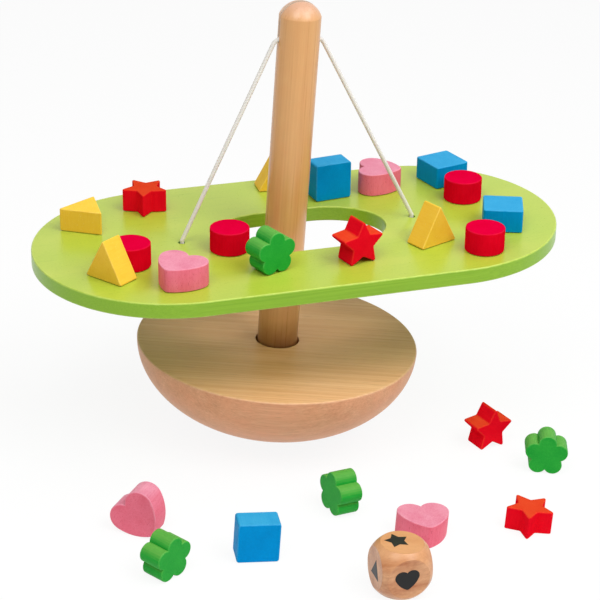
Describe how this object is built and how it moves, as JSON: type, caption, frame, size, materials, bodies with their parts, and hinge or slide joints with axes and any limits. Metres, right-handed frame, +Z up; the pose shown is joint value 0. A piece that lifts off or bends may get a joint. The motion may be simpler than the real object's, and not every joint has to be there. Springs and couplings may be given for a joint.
{
  "type": "balance seesaw game",
  "caption": "Wooden balance game: a green board hung by a cord from a slotted post on a rocking base, with loose coloured shape blocks and a symbol die.",
  "frame": {"origin": "centre of the base's flat foot, on the floor", "axes": "+Z up along the post; X along the board, +X toward the end that hangs higher; Y across the board, -Y toward the loose pieces on the floor"},
  "size_m": [0.3929, 0.3688, 0.3266],
  "materials": {
    "base_wood": "turned pale hardwood, fine straight grain, thin satin oil",
    "post_wood": "dowel, long straight grain, thin satin oil",
    "board_paint": "lime green satin paint on wood",
    "cord_cotton": "twisted off-white cord",
    "triangle_stain": "yellow stain on wood",
    "round_stain": "red stain on wood",
    "square_stain": "blue stain on wood",
    "heart_stain": "pink stain on wood",
    "star_stain": "orange-red stain on wood",
    "flower_stain": "green stain on wood",
    "die_wood": "plain sanded wood with near-black printed symbols"
  },
  "bodies": {
    "base": {"rocker_base": "base_wood"},
    "post": {"post": "post_wood"},
    "cord_saddle": {"slot_cord": "cord_cotton"},
    "board": {"seesaw_board": "board_paint", "left_knot": "cord_cotton", "right_knot": "cord_cotton"},
    "left_run": {"left_cord_run": "cord_cotton"},
    "right_run": {"right_cord_run": "cord_cotton"},
    "triangle_block_1": {"triangle_block_1": "triangle_stain"},
    "triangle_block_2": {"triangle_block_2": "triangle_stain"},
    "triangle_block_3": {"triangle_block_3": "triangle_stain"},
    "triangle_block_4": {"triangle_block_4": "triangle_stain"},
    "round_block_1": {"round_block_1": "round_stain"},
    "round_block_2": {"round_block_2": "round_stain"},
    "round_block_3": {"round_block_3": "round_stain"},
    "round_block_4": {"round_block_4": "round_stain"},
    "square_block_1": {"square_block_1": "square_stain"},
    "square_block_2": {"square_block_2": "square_stain"},
    "square_block_3": {"square_block_3": "square_stain"},
    "heart_block_1": {"heart_block_1": "heart_stain"},
    "heart_block_2": {"heart_block_2": "heart_stain"},
    "star_block_1": {"star_block_1": "star_stain"},
    "star_block_2": {"star_block_2": "star_stain"},
    "flower_block_1": {"flower_block_1": "flower_stain"},
    "square_block_4": {"square_block_4": "square_stain"},
    "heart_block_3": {"heart_block_3": "heart_stain"},
    "heart_block_4": {"heart_block_4": "heart_stain"},
    "star_block_3": {"star_block_3": "star_stain"},
    "star_block_4": {"star_block_4": "star_stain"},
    "flower_block_2": {"flower_block_2": "flower_stain"},
    "flower_block_3": {"flower_block_3": "flower_stain"},
    "flower_block_4": {"flower_block_4": "flower_stain"},
    "symbol_die": {"symbol_die": "die_wood"}
  },
  "joints": [
    {"name": "post_pull", "type": "slide", "parent": "base", "child": "post", "axis": [0, 0, 1], "range_m": [0, 0.045]},
    {"name": "fore_aft_swing", "type": "hinge", "parent": "post", "child": "cord_saddle", "pos_m": [0, 0, 0.3], "axis": [1, 0, 0], "range_deg": [-6, 6]},
    {"name": "seesaw_tip", "type": "hinge", "parent": "cord_saddle", "child": "board", "pos_m": [-0.00305, 0, 0.33379], "axis": [0, -1, 0], "range_deg": [-12.35, 5.65]},
    {"name": "left_run_swing", "type": "hinge", "parent": "cord_saddle", "child": "left_run", "pos_m": [-0.0169, 0, 0.3], "axis": [0, -1, 0], "range_deg": [-16, 8]},
    {"name": "right_run_swing", "type": "hinge", "parent": "cord_saddle", "child": "right_run", "pos_m": [0.0169, 0, 0.3], "axis": [0, -1, 0], "range_deg": [-16, 8]},
    {"name": "triangle_block_1_lift", "type": "slide", "parent": "board", "child": "triangle_block_1", "axis": [-0.0584, 0, 0.9983], "range_m": [0, 0.05]},
    {"name": "triangle_block_2_lift", "type": "slide", "parent": "board", "child": "triangle_block_2", "axis": [-0.0584, 0, 0.9983], "range_m": [0, 0.05]},
    {"name": "triangle_block_3_lift", "type": "slide", "parent": "board", "child": "triangle_block_3", "axis": [-0.0584, 0, 0.9983], "range_m": [0, 0.05]},
    {"name": "triangle_block_4_lift", "type": "slide", "parent": "board", "child": "triangle_block_4", "axis": [-0.0584, 0, 0.9983], "range_m": [0, 0.05]},
    {"name": "round_block_1_lift", "type": "slide", "parent": "board", "child": "round_block_1", "axis": [-0.0584, 0, 0.9983], "range_m": [0, 0.05]},
    {"name": "round_block_2_lift", "type": "slide", "parent": "board", "child": "round_block_2", "axis": [-0.0584, 0, 0.9983], "range_m": [0, 0.05]},
    {"name": "round_block_3_lift", "type": "slide", "parent": "board", "child": "round_block_3", "axis": [-0.0584, 0, 0.9983], "range_m": [0, 0.05]},
    {"name": "round_block_4_lift", "type": "slide", "parent": "board", "child": "round_block_4", "axis": [-0.0584, 0, 0.9983], "range_m": [0, 0.05]},
    {"name": "square_block_1_lift", "type": "slide", "parent": "board", "child": "square_block_1", "axis": [-0.0584, 0, 0.9983], "range_m": [0, 0.05]},
    {"name": "square_block_2_lift", "type": "slide", "parent": "board", "child": "square_block_2", "axis": [-0.0584, 0, 0.9983], "range_m": [0, 0.05]},
    {"name": "square_block_3_lift", "type": "slide", "parent": "board", "child": "square_block_3", "axis": [-0.0584, 0, 0.9983], "range_m": [0, 0.05]},
    {"name": "heart_block_1_lift", "type": "slide", "parent": "board", "child": "heart_block_1", "axis": [-0.0584, 0, 0.9983], "range_m": [0, 0.05]},
    {"name": "heart_block_2_lift", "type": "slide", "parent": "board", "child": "heart_block_2", "axis": [-0.0584, 0, 0.9983], "range_m": [0, 0.05]},
    {"name": "star_block_1_lift", "type": "slide", "parent": "board", "child": "star_block_1", "axis": [-0.0584, 0, 0.9983], "range_m": [0, 0.05]},
    {"name": "star_block_2_lift", "type": "slide", "parent": "board", "child": "star_block_2", "axis": [-0.0584, 0, 0.9983], "range_m": [0, 0.05]},
    {"name": "flower_block_1_lift", "type": "slide", "parent": "board", "child": "flower_block_1", "axis": [-0.0584, 0, 0.9983], "range_m": [0, 0.05]},
    {"name": "square_block_4_lift", "type": "slide", "parent": "base", "child": "square_block_4", "axis": [0, 0, 1], "range_m": [0, 0.05]},
    {"name": "heart_block_3_lift", "type": "slide", "parent": "base", "child": "heart_block_3", "axis": [0, 0, 1], "range_m": [0, 0.05]},
    {"name": "heart_block_4_lift", "type": "slide", "parent": "base", "child": "heart_block_4", "axis": [0, 0, 1], "range_m": [0, 0.05]},
    {"name": "star_block_3_lift", "type": "slide", "parent": "base", "child": "star_block_3", "axis": [0, 0, 1], "range_m": [0, 0.05]},
    {"name": "star_block_4_lift", "type": "slide", "parent": "base", "child": "star_block_4", "axis": [0, 0, 1], "range_m": [0, 0.05]},
    {"name": "flower_block_2_lift", "type": "slide", "parent": "base", "child": "flower_block_2", "axis": [0, 0, 1], "range_m": [0, 0.05]},
    {"name": "flower_block_3_lift", "type": "slide", "parent": "base", "child": "flower_block_3", "axis": [0, 0, 1], "range_m": [0, 0.05]},
    {"name": "flower_block_4_lift", "type": "slide", "parent": "base", "child": "flower_block_4", "axis": [0, 0, 1], "range_m": [0, 0.05]},
    {"name": "symbol_die_lift", "type": "slide", "parent": "base", "child": "symbol_die", "axis": [0, 0, 1], "range_m": [0, 0.05]}
  ],
  "couplings": [
    {"joint": "left_run_swing", "follows": "seesaw_tip", "ratio": 1.2268},
    {"joint": "right_run_swing", "follows": "seesaw_tip", "ratio": 1.2438}
  ]
}
